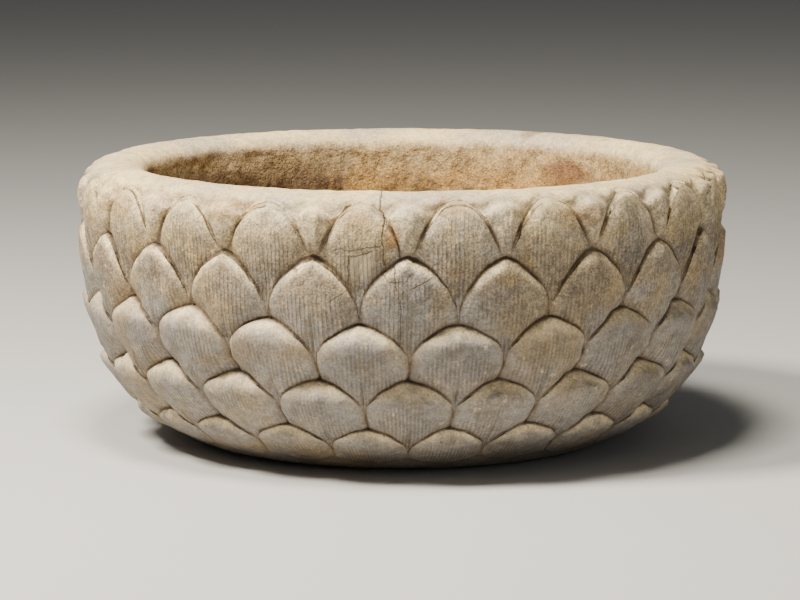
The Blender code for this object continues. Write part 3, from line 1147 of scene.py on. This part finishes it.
# Dust and painted shade along the chisel lines.
line_shade = times(tree, chisel_share, minus(tree, 1.0, chisel_lines))
colour = blend_colour(tree, times(tree, line_shade, 0.42), colour, SHADE)
print(LINES_ROUND, "lines round the basin")

# %% [markdown]
# The hollow held soil, which has stained it brown and tan in patches, and its left side is
# painted darker as painted shade. Under the rim the stone shows grey through the stain.
# The rust has run over all of it.

# %% Stained hollow, with painted shade on the left
HOLLOW_TAN = (0.385, 0.222, 0.062, 1.0)
HOLLOW_BROWN_AND_SHADE = (0.066, 0.031, 0.008, 1.0)
HOLLOW_GREY = (0.370, 0.270, 0.130, 1.0)
RUST = (0.140, 0.050, 0.016, 1.0)

stain_noise = noise_value(tree, here, scale=13.0, detail=5.0, roughness=0.7)
# The side term paints shade on the left of the hollow; the noise is the stain.
tan_and_lit_side = plus(tree, stain_noise, spread(tree, sideways, -0.24, 0.12, -0.28, 0.10))
hollow_colour = blend_colour(tree, spread(tree, tan_and_lit_side, 0.36, 0.60), HOLLOW_BROWN_AND_SHADE, HOLLOW_TAN)
near_rim = spread(tree, height_here, 0.205, 0.245)
near_rim = times(tree, near_rim, spread(tree, handled, 0.0, 1.0, 0.2, 0.8))
hollow_colour = blend_colour(tree, near_rim, hollow_colour, HOLLOW_GREY)
colour = blend_colour(tree, hollow_mask, colour, hollow_colour)
colour = blend_colour(tree, times(tree, mask(tree, "rust"), 0.80), colour, RUST)
print("hollow:", len((HOLLOW_TAN, HOLLOW_BROWN_AND_SHADE, HOLLOW_GREY, RUST)), "stains")

# %% [markdown]
# Close by, the stone is mottled by its crystals, more where it is rough and less on the
# smooth rim. The colour is also darker towards the foot.

# %% Grain and mottling
speckle = patches(tree, here, 520.0, 0.32, 0.68, 0.72, 1.24, detail=1.0, roughness=0.8)
rim_calm = spread(tree, height_here, 0.240, 0.256, 1.0, 0.60)
fine_share = times(tree, spread(tree, upper, 0.0, 1.0, 0.60, 1.0), rim_calm)
fine_share = larger(tree, times(tree, hollow_mask, 0.85), fine_share)
colour = shade_by(tree, fine_share, colour, speckle)
mottle = patches(tree, here, 130.0, 0.34, 0.66, 0.74, 1.20, detail=3.0, roughness=0.7)
colour = shade_by(tree, fine_share, colour, mottle)
# Darker towards the foot.
foot_shade = spread(tree, height_here, 0.0, 0.050, 0.66, 1.0)
colour = blend_colour(tree, 1.0, colour, foot_shade, "MULTIPLY")
print("nodes with the grain:", len(tree.nodes))

# %% [markdown]
# Soil has settled in the grooves, with a paler stain beside it, and the dark line in them
# is also painted shade. Noise is added to the mask before its contrast is drawn out, so
# that the dark lines are ragged and broken.

# %% Soil and painted shade in the grooves, and pits
STAIN = (0.170, 0.108, 0.052, 1.0)
# The darkest colour stands for soil and for painted shade.
SOIL_AND_SHADE = (0.060, 0.034, 0.015, 1.0)

ragged = minus(tree, noise_value(tree, here, scale=140.0, detail=3.0, roughness=0.7), 0.5)
groove_here = plus(tree, groove_mask, times(tree, ragged, 0.9))
halo = spread(tree, groove_here, 0.05, 0.65, 0.0, 0.55)
halo = times(tree, halo, spread(tree, groove_mask, 0.02, 0.12))
colour = blend_colour(tree, halo, colour, STAIN)
left_soil = patches(tree, here, 45.0, 0.34, 0.60, 0.35, 0.95, roughness=0.6)
# The dark line in the grooves: soil and painted shade.
soil_and_shade_line = times(tree, spread(tree, groove_here, 0.48, 0.92), left_soil)
colour = blend_colour(tree, times(tree, soil_and_shade_line, outside_mask), colour, SOIL_AND_SHADE)
pits = pitting.outputs["Pits"]
colour = blend_colour(tree, times(tree, pits, 0.50), colour, STAIN)
print("nodes with the soil:", len(tree.nodes))

# %% [markdown]
# The damage lies over all the rest: the flake shows cleaner stone, the dents hold a little
# dirt and the cracks hold soil. That ends the colour, and the edges are also smoother.

# %% Damage, end of the colour, and gloss
cracks_here = times(tree, damage.outputs["Cracks"], outside_mask)
spots_here = times(tree, damage.outputs["Spots"], outside_mask)
flake_here = times(tree, damage.outputs["Flake"], outside_mask)
damage_layers = ((0.30, flake_here, BLEACH_AND_HIGHLIGHT), (0.55, spots_here, STAIN), (0.78, cracks_here, SOIL_AND_SHADE))
for strength, layer, tint in damage_layers:
    colour = blend_colour(tree, times(tree, layer, strength), colour, tint)
tree.links.new(colour, shader.inputs["Base Color"])
tree.links.new(spread(tree, edge_mask, 0.0, 1.0, 0.78, 0.58), shader.inputs["Roughness"])
print("colour has", len(tree.nodes), "nodes so far")

# %% [markdown]
# The finest relief is too small for the mesh, so a bump bends the light instead. All its
# parts are counted in millimetres: chisel lines, grain and swells stand up, pits, cracks,
# dents and the flake lie deeper.

# %% Fine relief under the light
RELIEF_UNIT = 0.001

line_height = times(tree, times(tree, chisel_share, chisel_lines), 0.62)
grain = noise_value(tree, here, scale=560.0, detail=1.0, roughness=0.75)
grain = times(tree, grain, times(tree, fine_share, 0.55))
swells = noise_value(tree, here, scale=85.0, detail=3.0, roughness=0.62)
swells = times(tree, swells, plus(tree, times(tree, fine_share, 1.60), times(tree, hollow_mask, 1.5)))
relief = plus(tree, plus(tree, line_height, grain), swells)
lows = times(tree, pits, 0.35)
for depth, layer in ((0.9, cracks_here), (1.1, flake_here), (1.0, spots_here)):
    lows = plus(tree, lows, times(tree, layer, depth))
bump = add(tree, "ShaderNodeBump", {
    "Height": minus(tree, relief, lows), "Strength": 1.0, "Distance": RELIEF_UNIT})
tree.links.new(bump.outputs["Normal"], shader.inputs["Normal"])
basin_mesh.materials.append(marble)
print("marble has", len(tree.nodes), "nodes")

# %% [markdown]
# The floor is matt and pale, with a very faint cloud in it so that it isn't dead flat.

# %% Paint of the floor
FLOOR_TONES = (0.49, 0.49, 0.48, 1.0), (0.53, 0.53, 0.52, 1.0)

floor_paint = bpy.data.materials.new("pale_floor")
floor_paint.use_nodes = True
floor_tree = floor_paint.node_tree
paint = floor_tree.nodes["Principled BSDF"]
on_the_floor = add(floor_tree, "ShaderNodeTexCoord").outputs["Object"]
floor_shade = blend_colour(floor_tree, noise_value(floor_tree, on_the_floor, 0.6), *FLOOR_TONES)
floor_tree.links.new(floor_shade, paint.inputs["Base Color"])
paint.inputs["Roughness"].default_value = 0.9
floor_mesh.materials.append(floor_paint)
print("floor paint:", floor_paint.name)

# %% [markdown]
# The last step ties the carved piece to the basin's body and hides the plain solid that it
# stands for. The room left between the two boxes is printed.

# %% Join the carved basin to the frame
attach(basin, "root")
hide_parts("basin")
dressed_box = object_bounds()
room_left = [round(1000 * (solid - made), 2) for solid, made in zip(solid_box[1], dressed_box[1])]
print("room left:", room_left, "mm")
